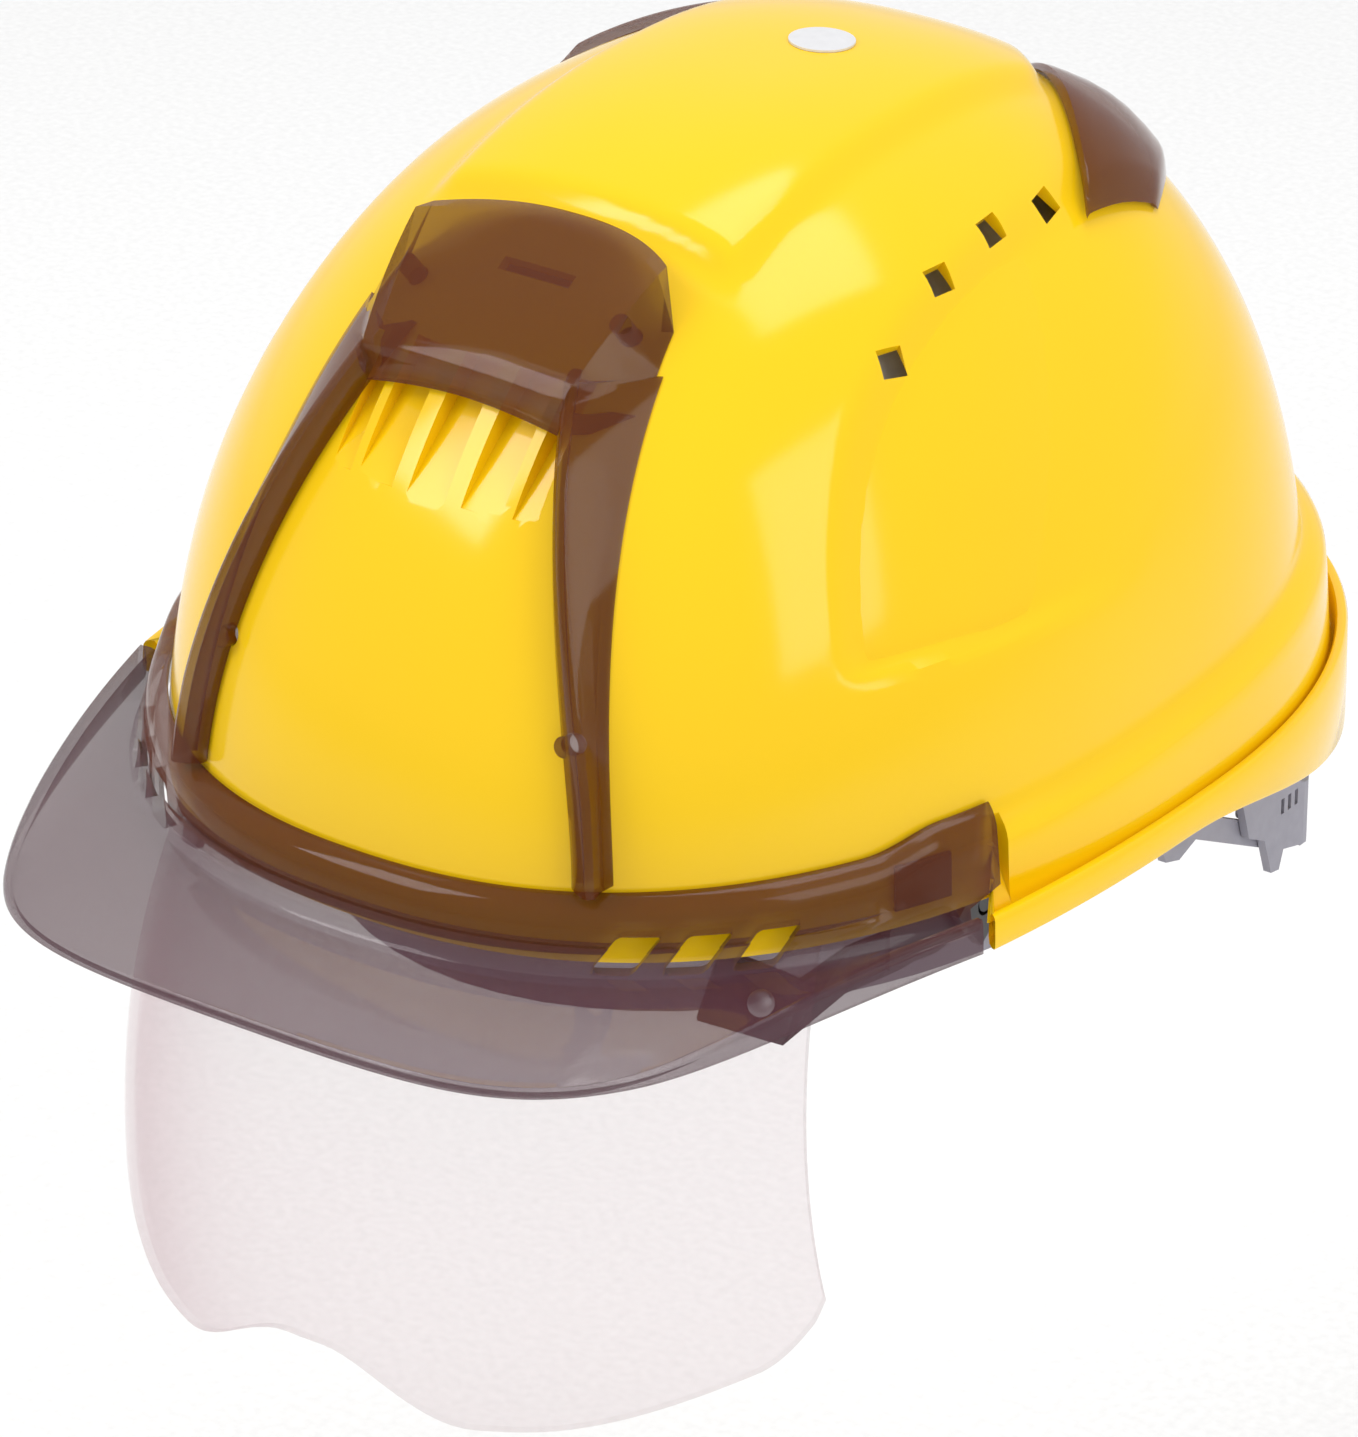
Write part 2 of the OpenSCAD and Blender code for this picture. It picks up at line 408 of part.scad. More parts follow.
module shield_rivets() color([0.7, 0.7, 0.72]) for (s = [0, 1]) mirror([s, 0, 0]) {
  shield_rivet(1.5, -4.8, 5); shield_rivet(2.6, 0.15, 0.8);
}
module shield_track() color([0.2, 0.2, 0.22]) difference() {
  yz_plate(track_in, track_out) difference() {
    union() {
      arc_band(track_r - 6, track_r + 6, pin_angle_a - 4.5, pin_angle_b + shield_travel + 4.5);
      for (p = track_screw_yz) translate(p) circle(r = 4.6);
      translate(track_screw_yz[1]) rotate(40) square([16, 6], center = true);
      translate(track_screw_yz[0] - [0, 4]) square([8, 8], center = true);
    }
    arc_slot(pin_r + track_play, pin_angle_a - 0.4, pin_angle_b + shield_travel + 0.4);
  }
  for (p = track_screw_yz) translate([track_in - tiny, p[0], p[1]]) rotate([0, 90, 0]) { cylinder(r1 = 3, r2 = 1.7, h = 1.3); cylinder(r = 1.7, h = 4); }
}
module shield_track_left() shield_track();
module shield_track_right() mirror([1, 0, 0]) shield_track();
module track_screws() color([0.7, 0.7, 0.72]) for (s = [0, 1], p = track_screw_yz) mirror([s, 0, 0])
  translate([track_in + 0.05, p[0], p[1]]) rotate([0, 90, 0]) { cylinder(r1 = 2.8, r2 = 1.5, h = 1.3); cylinder(r = 1.3, h = 5.2); }

// ---------- foam liner ----------
liner_low = 96;
module impact_liner() color([0.9, 0.9, 0.88]) difference() {
  bowl([for (i = [0:35]) let(a = 10 * i) concat(
      [for (k = [0:5]) dome_ph(a, mix(85, asin(pow((liner_low - base_z) / (crown_z - 8 - base_z), exp_up / 2)), k / 5), -8)],
      [for (k = [0:5]) dome_ph(a, mix(asin(pow((liner_low - base_z) / (crown_z - 25 - base_z), exp_up / 2)), 85, k / 5), -25)])],
    [0, 0, crown_z - 8], [0, 0, crown_z - 25]);
  for (p = liner_xy) translate([p[0], p[1], top_z(p[0], p[1], -8) - 4]) cylinder(r = 6.2, h = 20);
}
module liner_buttons() color([0.3, 0.3, 0.32]) for (p = liner_xy) let(z = top_z(p[0], p[1], -8) - 3.8)
  translate([p[0], p[1], z]) cylinder(r = 6, h = top_z(p[0] * 1.15, p[1] * 1.15, -wall) - z - 0.4);

// ---------- head harness ----------
harness_z = 5;
function head_r(a, d) = 1 / norm([cos(a) / (head_half_w + d), sin(a) / (head_half_l + d)]);
function head_at(a, z, d) = let(r = head_r(a, d)) [r * cos(a), r * sin(a), z];
function over_head(a, ph, d) = let(r = head_r(a, d) * cos(ph)) [r * cos(a), r * sin(a), harness_z + (cradle_top - harness_z + d) * sin(ph)];
strap_w = 16;
module strap(a) {
  side = [-sin(a), cos(a), 0] * strap_w / 2;
  phs = [for (i = [0:20]) mix(18.6, 161.4, i / 20)];
  thick_sheet([for (p = phs) [over_head(a, p, 3.6) - side, over_head(a, p, 3.6) + side]],
    [for (p = phs) [over_head(a, p, 2.3) - side, over_head(a, p, 2.3) + side]]);
}
module cradle() color([0.62, 0.6, 0.68]) { strap(90); strap(40); strap(140); }
module cradle_hub() color([0.55, 0.53, 0.6]) translate([0, 0, cradle_top + 3.9]) difference() {
  cylinder(r = 17, h = 1.6); for (i = [0:5]) rotate([0, 0, 60 * i]) translate([10, 0, -1]) cylinder(r = 2.4, h = 4);
}
module crown_pad() color([0.25, 0.25, 0.27]) translate([0, 0, cradle_top - 5.9]) cylinder(r = 24, h = 4);
module headband() color([0.62, 0.6, 0.68]) difference() {
  union() {
    thick_sheet([for (i = [0:46]) let(a = mix(-206, 26, i / 46)) [for (z = [2, 2 + band_tall]) head_at(a, z, 0.2 + band_thick)]],
      [for (i = [0:46]) let(a = mix(-206, 26, i / 46)) [for (z = [2, 2 + band_tall]) head_at(a, z, 0.2)]]);
    for (s = [0, 1]) mirror([s, 0, 0]) yz_plate(69.6, 71.4)
      polygon([[31, 2], [36, -9], [41, -10.5], [47, -8.5], [74, -22], [79, -13], [78, -3], [46, 28], [38, 32], [31, 32]]);
  }
  for (s = [0, 1]) mirror([s, 0, 0]) yz_plate(68, 73) {
    nape_slot();
    for (k = [0:2]) translate([49 + 4.2 * k, 5 - 3 * k]) rotate(-nape_slope) square([2, 8], center = true);
  }
}
module nape_slot() hull() for (t = [-9, 9]) translate([66, -10.5] + t * [cos(nape_slope), -sin(nape_slope)]) circle(r = 1.8);
function nape_pt(b, d, z) = [(72.6 + d) * cos(b), 84 + (25 + d) * sin(b), z - 5 * sin(b)];
module nape_band() color([0.62, 0.6, 0.68]) {
  bs = [for (i = [0:24]) 7.5 * i];
  thick_sheet([for (b = bs) [nape_pt(b, 0.9, -25), nape_pt(b, 0.9, -11)]], [for (b = bs) [nape_pt(b, -0.9, -25), nape_pt(b, -0.9, -11)]]);
  for (s = [0, 1]) mirror([s, 0, 0]) {
    yz_plate(71.7, 73.5) difference() {
      polygon([[61, -6], [64, -15], [70, -18], [73, -26.5], [76, -27], [77.5, -23], [85, -25], [85, -11], [81, -9], [78, -8], [70, -5]]);
      for (k = [0:2]) translate([76.6 + 2.6 * k, -13]) square([1.2, 3.4], center = true);
    }
    translate([69.8, 66, -10.5]) rotate([0, 90, 0]) cylinder(r = 1.6, h = 2.4);
  }
}
module nape_pad() color([0.2, 0.2, 0.22]) {
  bs = [for (i = [0:12]) mix(40, 140, i / 12)];
  thick_sheet([for (b = bs) [nape_pt(b, -1.2, -25), nape_pt(b, -1.2, -11)]], [for (b = bs) [nape_pt(b, -5, -25), nape_pt(b, -5, -11)]]);
}
module brow_pad() color([0.2, 0.2, 0.22]) {
  bs = [for (i = [0:24]) mix(-150, -30, i / 24)];
  thick_sheet([for (a = bs) [head_at(a, 3.5, -0.1), head_at(a, 30.5, -0.1)]], [for (a = bs) [head_at(a, 3.5, -4.2), head_at(a, 30.5, -4.2)]]);
}
module hanger_keys() color([0.55, 0.53, 0.6]) for (a = [40, 90, 140]) rotate([0, 0, a])
  let(r0 = head_r(a, 4.1), r1 = norm([for (j = [0:1]) dome_at(a, 48, -wall)[j]]) - 0.9)
  translate([r0, -4.5, 38]) cube([r1 - r0, 9, 8]);

shell();
visor();
visor_clips();
front_vent_cover();
rear_vent_cover();
crown_label();
face_shield();
shield_arm_left();
shield_arm_right();
shield_rivets();
shield_track_left();
shield_track_right();
track_screws();
impact_liner();
liner_buttons();
cradle();
cradle_hub();
headband();
brow_pad();
crown_pad();
nape_band();
nape_pad();
hanger_keys();
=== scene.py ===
import math
import bmesh
import bpy
import numpy as np
from mathutils import Matrix, Vector


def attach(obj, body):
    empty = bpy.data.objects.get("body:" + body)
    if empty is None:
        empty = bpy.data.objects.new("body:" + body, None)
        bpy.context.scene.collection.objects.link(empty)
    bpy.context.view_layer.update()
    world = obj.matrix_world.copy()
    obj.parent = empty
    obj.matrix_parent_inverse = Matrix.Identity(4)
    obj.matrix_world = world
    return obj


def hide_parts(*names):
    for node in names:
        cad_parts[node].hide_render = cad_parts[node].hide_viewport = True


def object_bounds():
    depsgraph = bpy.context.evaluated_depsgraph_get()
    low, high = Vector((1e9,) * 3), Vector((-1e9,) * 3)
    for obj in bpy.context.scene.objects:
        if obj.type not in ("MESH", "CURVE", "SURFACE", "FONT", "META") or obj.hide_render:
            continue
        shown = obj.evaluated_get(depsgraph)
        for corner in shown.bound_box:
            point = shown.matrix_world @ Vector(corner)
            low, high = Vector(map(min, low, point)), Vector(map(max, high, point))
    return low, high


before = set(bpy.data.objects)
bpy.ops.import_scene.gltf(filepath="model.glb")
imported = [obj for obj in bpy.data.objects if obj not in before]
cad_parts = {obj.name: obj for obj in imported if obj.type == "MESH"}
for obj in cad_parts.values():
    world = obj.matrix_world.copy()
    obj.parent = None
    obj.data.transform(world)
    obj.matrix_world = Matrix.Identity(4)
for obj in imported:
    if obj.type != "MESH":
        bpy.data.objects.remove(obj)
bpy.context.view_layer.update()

MM = 0.001

# ---------- sizes of the cap, millimetres, the same as the part's source ----------
HALF_W, FRONT, REAR, CROWN, BASE, WALL = 97.3, 130.2, 110.6, 153.6, 18.4, 2.4
PLAN_FRONT, PLAN_REAR, EXP_SIDE, EXP_FRONT, EXP_REAR, EXP_UP = 2.27, 2.35, 2.55, 2.42, 2.56, 2.21
CREST_RISE, CREST_HALF, PANEL_DEPTH = 2.6, 30.0, 2.8
LEDGE_Z, LEDGE_SLOPE, SKIRT_OUT = 48.0, 0.048, 4.2
LIP_HALF, LIP_REAR, LIP_TOP, LIP_LOW_SIDE, LIP_LOW_REAR = 104.7, 123.5, 33.0, 26.0, 10.5
LIP_EXP, LIP_WALL = 2.23, 2.4
VISOR_END, END_SLANT, FRONT_RIM = 35.0, 3.6, 29.0
BRIM_REACH, BRIM_Z, BRIM_THICK = 166.2, 22.5, 2.4
AXIS_Y, AXIS_Z, SHIELD_R, SHIELD_DROP, SHIELD_HALF, SHIELD_THICK = 6.1, -50.4, 154.4, 46.1, 83.6, 1.8
COVER_WALL, GAP = 2.0, 0.3


def mix(a, b, t):
    return a + (b - a) * t


def smooth(a, b, v):
    t = np.clip((v - a) / (b - a), 0.0, 1.0)
    return t * t * (3 - 2 * t)


def cosd(a):
    return np.cos(np.radians(a))


def sind(a):
    return np.sin(np.radians(a))


def point(x, y, z):
    return np.stack(np.broadcast_arrays(np.asarray(x, float), y, z), -1)


# ---------- dome surface, d is the distance outside it ----------
def plan_r(a, d):
    e = np.where(sind(a) < 0, PLAN_FRONT, PLAN_REAR)
    length = np.where(sind(a) < 0, FRONT, REAR) + d
    return ((np.abs(cosd(a)) / (HALF_W + d)) ** e + (np.abs(sind(a)) / length) ** e) ** (-1 / e)


def round_exp(a):
    return mix(EXP_SIDE, np.where(sind(a) < 0, EXP_FRONT, EXP_REAR), sind(a) ** 2)


def dome_ph(a, ph, d):
    r = plan_r(a, d) * cosd(ph) ** (2 / round_exp(a))
    return point(r * cosd(a), r * sind(a), BASE + (CROWN + d - BASE) * sind(ph) ** (2 / EXP_UP))


def dome_at(a, z, d):
    k = np.maximum(0.0005, 1 - (np.maximum(0, z - BASE) / (CROWN + d - BASE)) ** EXP_UP)
    r = plan_r(a, d) * k ** (1 / round_exp(a))
    return point(r * cosd(a), r * sind(a), z)


def top_z(x, y, d):
    a = np.degrees(np.arctan2(y, x))
    q = np.hypot(x, y) / plan_r(a, d)
    return BASE + (CROWN + d - BASE) * np.maximum(0, 1 - q ** round_exp(a)) ** (1 / EXP_UP)


def front_at(x, z, d):
    t = np.zeros(np.broadcast(x, z, d).shape)
    for _ in range(8):
        p = dome_at(t - 90, z, d)
        t = np.degrees(np.arcsin(np.clip(x / np.hypot(p[..., 0], p[..., 1]), -1, 1)))
    return dome_at(t - 90, z, d)


def rear_start(x):
    return 80 - 64 * (np.abs(x) / 62) ** 1.15


def crest(p):
    x, y, z = p[..., 0], p[..., 1], p[..., 2]
    start = rear_start(x)
    return (CREST_RISE * (1 - smooth(CREST_HALF - 1, CREST_HALF + 7, np.abs(x))) * smooth(-61, -54, y)
            * smooth(95, 120, z) * (1 - smooth(0, 1, (y - start + 10) / 8.5)))


def panel(p):
    x, y, z = p[..., 0], p[..., 1], p[..., 2]
    q = (np.abs(np.minimum(0, y - 15)) / 96) ** 2.6 + (np.maximum(0, z - 60) / 78.5) ** 2.6
    fade = (y + 50 - 0.6 * (z - 77)) / (45 + 0.3 * (z - 77))
    return (-PANEL_DEPTH * smooth(-1, 6, (1 - q ** (1 / 2.6)) * 85) * smooth(74.5, 79, z + 0.03 * y)
            * (1 - smooth(0, 1, fade)) * smooth(40, 48, np.abs(x)))


def lip_pt(a, d, z):
    r = ((np.abs(cosd(a)) / (LIP_HALF + d)) ** LIP_EXP
         + (np.abs(sind(a)) / (np.where(sind(a) < 0, LIP_REAR + 60,
                                        LIP_REAR) + d)) ** LIP_EXP) ** (-1 / LIP_EXP)
    return point(r * cosd(a), r * sind(a), z)


def ledge(a):
    return LEDGE_Z + LEDGE_SLOPE * plan_r(a, 0) * sind(a)


# ---------- meshes ----------
def make_mesh(name, verts, faces, smooth_angle=40):
    mesh = bpy.data.meshes.new(name)
    mesh.from_pydata((np.asarray(verts) * MM).tolist(), [], faces)
    mesh.validate()
    mesh.update()
    obj = bpy.data.objects.new(name, mesh)
    bpy.context.scene.collection.objects.link(obj)
    tidy_normals(obj)
    shade(obj, smooth_angle)
    return obj


def tidy_normals(obj):
    bm = bmesh.new()
    bm.from_mesh(obj.data)
    bmesh.ops.remove_doubles(bm, verts=bm.verts, dist=1e-6)
    bmesh.ops.recalc_face_normals(bm, faces=bm.faces)
    bm.to_mesh(obj.data)
    bm.free()


def shade(obj, angle):
    mesh = obj.data
    mesh.shade_smooth()
    mesh.set_sharp_from_angle(angle=math.radians(angle))


def grid_faces(n, m, start=0, wrap=False, turn=False):
    faces = []
    for c in range(n if wrap else n - 1):
        for r in range(m - 1):
            q = [c * m + r, ((c + 1) % n) * m + r, ((c + 1) % n) * m + r + 1, c * m + r + 1]
            faces.append([start + k for k in (q[::-1] if turn else q)])
    return faces


def sheet_solid(name, outer, inner, angle=40):
    """A closed solid between two grids of points, [column][row]."""
    n, m = outer.shape[:2]
    size = n * m
    faces = grid_faces(n, m) + grid_faces(n, m, size, turn=True)
    edge = ([(c, 0) for c in range(n)] + [(n - 1, r) for r in range(1, m)]
            + [(c, m - 1) for c in range(n - 2, -1, -1)] + [(0, r) for r in range(m - 2, 0, -1)])
    for i, (c, r) in enumerate(edge):
        c2, r2 = edge[(i + 1) % len(edge)]
        faces.append([c * m + r, size + c * m + r, size + c2 * m + r2, c2 * m + r2])
    return make_mesh(name, np.concatenate([outer.reshape(-1, 3), inner.reshape(-1, 3)]), faces, angle)


def cut(obj, cutters):
    for c in cutters:
        mod = obj.modifiers.new("cut", "BOOLEAN")
        mod.operation, mod.solver, mod.object = "DIFFERENCE", "MANIFOLD", c
        bake(obj)
        bpy.data.objects.remove(c, do_unlink=True)


def bake(obj):
    bpy.context.view_layer.update()
    made = bpy.data.meshes.new_from_object(obj.evaluated_get(bpy.context.evaluated_depsgraph_get()))
    obj.modifiers.clear()
    obj.data = made


def box_at(place, size, matrix=None):
    bpy.ops.mesh.primitive_cube_add(size=1)
    obj = bpy.context.object
    obj.data.transform(Matrix.Diagonal((*[s * MM for s in size], 1)))
    if matrix is not None:
        obj.data.transform(matrix)
    obj.data.transform(Matrix.Translation([v * MM for v in place]))
    return obj


# ---------- shell ----------
FRONT_COLS, SKIRT_COLS, DOME_ROWS, INNER_ROWS = 110, 150, 84, 24


def shell_col(a, skirt):
    """One outline of the shell, from the crown over the rim and back up inside it."""
    zl = float(ledge(a))
    low_back = float(smooth(-0.1, 0.75, sind(a)))
    floor = mix(30, 26, float(smooth(-0.3, 0.7, sind(a))))
    low = mix(LIP_LOW_SIDE, LIP_LOW_REAR, low_back)
    if skirt:
        b = 90 + (a - 90) * (1 - END_SLANT / (90 + VISOR_END))
    else:
        b = -90 + (a + 90) * (1 + END_SLANT / (90 - VISOR_END))
    ph_low = math.degrees(math.asin(((zl + 1.5 - BASE) / (CROWN - BASE)) ** (EXP_UP / 2)))
    ph_in = math.degrees(math.asin(((zl - 3 - BASE) / (CROWN - WALL - BASE)) ** (EXP_UP / 2)))
    ph = mix(89.0, ph_low, np.linspace(0, 1, DOME_ROWS))
    bare = dome_ph(a, ph, 0)
    rows = [dome_ph(a, ph, crest(bare) + panel(bare))]
    if skirt:
        at = lambda z, d: dome_at(b, z, d)[None]
        lip = lambda d, z: lip_pt(a, d, z)[None]
        rows += [at(zl + 0.9, 0.5), at(zl + 0.3, SKIRT_OUT * 0.36), at(zl - 0.5, SKIRT_OUT * 0.66),
                 at(zl - 1.6, SKIRT_OUT * 0.88),
                 at(zl - 3, SKIRT_OUT), at(zl - 6, SKIRT_OUT + 0.05), at(floor + 4, SKIRT_OUT + 0.2),
                 at(floor + 1, SKIRT_OUT + 0.6),
                 at(floor, SKIRT_OUT + 1.4),
                 lip(-LIP_WALL - 1.2, floor), lip(-LIP_WALL - 0.3, floor + 0.4),
                 lip(-LIP_WALL, floor + 1.2), lip(-LIP_WALL, LIP_TOP - 0.9),
                 lip(-LIP_WALL + 0.4, LIP_TOP - 0.25), lip(-LIP_WALL / 2, LIP_TOP),
                 lip(-0.4, LIP_TOP - 0.25), lip(0, LIP_TOP - 0.9),
                 lip(0.2, mix(LIP_TOP, low, 0.5)), lip(0.2, low + 1), lip(-0.2, low + 0.3),
                 lip(-LIP_WALL / 2, low),
                 lip(-LIP_WALL, low + 0.3), lip(-LIP_WALL - 0.4, min(floor - WALL, low + 3)),
                 at(floor - WALL, SKIRT_OUT - WALL + 0.6), at(floor, SKIRT_OUT - WALL),
                 at(zl - 6, SKIRT_OUT - WALL)]
    else:
        rows += [dome_at(b, mix(zl, FRONT_RIM + 0.6, t), 0)[None] for t in np.linspace(0, 0.96, 20)]
        rim = ((FRONT_RIM + 0.3, -0.1), (FRONT_RIM, -0.6), (FRONT_RIM, -WALL / 2),
               (FRONT_RIM, 0.4 - WALL), (FRONT_RIM + 0.6, -WALL), (zl - 6, -WALL))
        rows += [dome_at(b, z, d)[None] for z, d in rim]
    rows.append(dome_ph(a, mix(ph_in, 89.0, np.linspace(0, 1, INNER_ROWS)), -WALL))
    return np.concatenate(rows)


def bowl(name, cols, top_out, top_in, angle=38):
    pts = np.array(cols)
    n, m = pts.shape[:2]
    faces = grid_faces(n, m, wrap=True)
    faces += [[n * m, ((c + 1) % n) * m, c * m] for c in range(n)]
    faces += [[n * m + 1, c * m + m - 1, ((c + 1) % n) * m + m - 1] for c in range(n)]
    return make_mesh(name, np.concatenate([pts.reshape(-1, 3), [top_out, top_in]]), faces, angle)


def turned(x, y, z):
    """A turn about X, then Y, then Z, in degrees."""
    turns = [Matrix.Rotation(math.radians(v), 4, axis) for v, axis in ((x, "X"), (y, "Y"), (z, "Z"))]
    return turns[2] @ turns[1] @ turns[0]


def aimed(direction):
    """The turn that takes Z to the given direction."""
    d = Vector(direction).normalized()
    return turned(0, math.degrees(math.acos(d.z)), math.degrees(math.atan2(d.y, d.x)))


def front_dir(x, z):
    """The way a peg of the front cover points, out of the shell."""
    n = Vector(front_at(x, z, 5) - front_at(x, z, -5)).normalized()
    return n + Vector((0, 0, 1.6 * ((z - BASE) / (CROWN - BASE)) ** 2))


def rod(radius, length, place, direction, start=0.0, sides=40):
    bpy.ops.mesh.primitive_cylinder_add(vertices=sides, radius=radius * MM, depth=length * MM)
    obj = bpy.context.object
    obj.data.transform(Matrix.Translation((0, 0, (start + length / 2) * MM)))
    obj.data.transform(aimed(direction))
    obj.data.transform(Matrix.Translation([v * MM for v in place]))
    return obj


COVER_PEGS = [(-39, 70), (39, 70), (-24, 132), (24, 132)]
REAR_PEGS = [(-34, 80), (34, 80)]
SIDE_VENTS = [(59.6, -45.6), (56.5, -26.2), (55.3, -7.4), (56, 10.2)]
INLETS = [(-12, 8.4), (0, 8.4), (12, 8.4), (-20.6, 4.6), (20.6, 4.6)]


INLET_LOW, INLET_HIGH, INLET_DEPTH = 105, 126, 7


def channel(x, width, section):
    """A prism across the front of the shell, with its section in the plane of the surface normal."""
    p = front_at(x, INLET_LOW, 0)
    n = front_at(x, INLET_LOW, 5) - front_at(x, INLET_LOW, -5)
    turn = math.atan2(n[0], -n[1])
    across, inward = np.array([math.cos(turn), math.sin(turn), 0]), np.array([-math.sin(turn),
                                                                              math.cos(turn), 0])
    start = np.array([p[0], p[1], 0])
    verts = [start + across * side * width / 2 + inward * u + np.array([0, 0, z])
             for side in (-1, 1) for u, z in section]
    k = len(section)
    faces = [list(range(k)), list(range(2 * k - 1, k - 1, -1))] + [[i, (i + 1) % k, k + (i + 1) % k,
                                                                    k + i] for i in range(k)]
    return make_mesh("channel", verts, faces)


TRACK_IN, TRACK_SCREWS = 81.2, [(-30, 42.5), (50, 36)]
RIVET_X, RIVET_F, RIVET_HOLE = 67, 33.5, 1.7
COVER_PEG_HOLE = 2.15


def make_shell():
    front = [shell_col(a, False) for a in np.linspace(-180 + VISOR_END + 0.35, -VISOR_END - 0.35, FRONT_COLS)]
    back = [shell_col(a, True) for a in np.linspace(-VISOR_END + 0.35, 180 + VISOR_END - 0.35, SKIRT_COLS)]
    n_front = len(front[0])
    n_back = len(back[0])
    if n_front < n_back:
        # the front columns get as many rows as the rear ones, along their rim
        front = [np.concatenate([c[:DOME_ROWS],
                                 resample(c[DOME_ROWS:n_front - INNER_ROWS],
                                          n_back - DOME_ROWS - INNER_ROWS), c[-INNER_ROWS:]])
                 for c in front]
    shell = bowl("shell_skin", front + back, (0, 0, CROWN + CREST_RISE), (0, 0, CROWN - WALL))
    cutters, beds = [], []
    for s in (-1, 1):
        for x, y in SIDE_VENTS:
            z = float(top_z(x, y, -1.5))
            cutters.append(box_at((s * x, y, z), (5, 6, 14),
                                  turned(0, s * 38, 0) @ turned(-y * 0.35 - 6, 0, s * (y * 0.5 + 8))))
    for x, width in INLETS:
        run = float(front_at(x, INLET_HIGH, 0)[1] - front_at(x, INLET_LOW, 0)[1])
        beds.append(channel(x, width + 4.4,
                            [(1.5, INLET_LOW + 0.3), (run + 1, INLET_HIGH),
                             (run + INLET_DEPTH + 1.8, INLET_HIGH), (3.2, INLET_LOW - 1.5)]))
        cutters.append(channel(x, width,
                               [(0, INLET_LOW), (-4, INLET_LOW + 1), (run - 6, INLET_HIGH),
                                (run + INLET_DEPTH, INLET_HIGH)]))
    cutters.append(box_at((0, -74, 139), (16, 3, 16), turned(34, 0, 0)))
    for x, z in COVER_PEGS:
        cutters.append(rod(COVER_PEG_HOLE, 12, front_at(x, z, 0), front_dir(x, z), -6))
    shell = join_solid("shell_skin", [shell] + beds, 38)
    cut(shell, cutters)
    shade(shell, 38)
    return shell


def resample(pts, n):
    """The same outline with n points at even steps."""
    step = np.concatenate([[0], np.cumsum(np.linalg.norm(np.diff(pts, axis=0), axis=1))])
    want = np.linspace(0, step[-1], n)
    return np.stack([np.interp(want, step, pts[:, k]) for k in range(3)], -1)


# ---------- visor ----------
def brim_edge(t):
    u = abs(t)
    pts = [(0, -BRIM_REACH), (67.2, -BRIM_REACH), (71.8, 3.2 - BRIM_REACH), (98.6, -71.3)]
    w = [(1 - u) ** 3, 3 * (1 - u) ** 2 * u, 3 * (1 - u) * u * u, u ** 3]
    x = sum(a * p[0] for a, p in zip(w, pts))
    y = sum(a * p[1] for a, p in zip(w, pts))
    return np.array([-x if t < 0 else x, y])


BRIM_STEPS = (0.08, 0.25, 0.4, 0.55, 0.7, 0.85, 0.95)


def visor_col(t):
    """The outer and inner outline of the visor, from the top of its band to the brim's edge."""
    a = -90 + t * (90 - VISOR_END + END_SLANT - 1)
    b = -90 + t * (90 - VISOR_END - 0.9)
    top = float(ledge(a)) + 1.2 + 2.6 * float(smooth(-0.72, -0.62, sind(a)))
    u = abs(t)
    edge = brim_edge(t)
    n = np.array([edge[0], edge[1] + 40])
    n = np.append(n / np.linalg.norm(n), 0)
    zb = mix(BRIM_Z, 26.2, float(smooth(0.6, 1, u)))
    ze = zb + mix(2.1, 7, float(smooth(0.5, 1, u)))
    root, under = dome_at(b, 29.8, 7), dome_at(b, 27, 5)
    e = np.append(edge, ze) - 1.2 * n
    band = ((top - 0.3, 0.4), (top, 0.8), (top - 0.2, 1.5), (top - 0.7, 2.4), (top - 1.5, 3.3),
            (top - 2.3, 3.9), (top - 3.2, 4.25), (top - 6, 4.6), (top - 10, 5), (35, 5.5))
    out = [dome_at(a, z, d) for z, d in band]
    out += [dome_at(b, 32.3, 5.8), dome_at(b, 30.7, 6.2), root]
    out += [mix(root, e, k) + np.array([0, 0, 0.8 * math.sin(math.pi * k)]) for k in BRIM_STEPS]
    out += [e, e + 0.5 * n + [0, 0, 0.15], e + 0.9 * n - [0, 0, 0.3], np.append(edge, mix(ze, zb, 0.5)),
            np.append(edge, zb + 0.3)]
    back = ((top - 1.2, GAP), (top - 1.5, 0.5), (top - 1.9, 0.7), (top - 2.6, 1), (top - 3.4, 1.4),
            (top - 4.2, 1.8), (top - 5.2, 2.1), (top - 7, 2.4), (top - 11, 2.8), (35, 3.2))
    inner = [dome_at(a, z, d) for z, d in back]
    inner += [dome_at(b, 31, 3.5), dome_at(b, 29, 4), under]
    inner += [mix(root, e, k) + np.array([0, 0, 0.8 * math.sin(math.pi * k) - BRIM_THICK])
              for k in BRIM_STEPS]
    inner += [e - 0.6 * n - [0, 0, BRIM_THICK], e - 0.6 * n + [0, 0, mix(0, zb - ze, 0.6)],
              np.append(edge, zb + 0.6) - 1.6 * n,
              np.append(edge, zb) - 1.3 * n, np.append(edge, zb) - 0.5 * n]
    return np.array(out), np.array(inner)


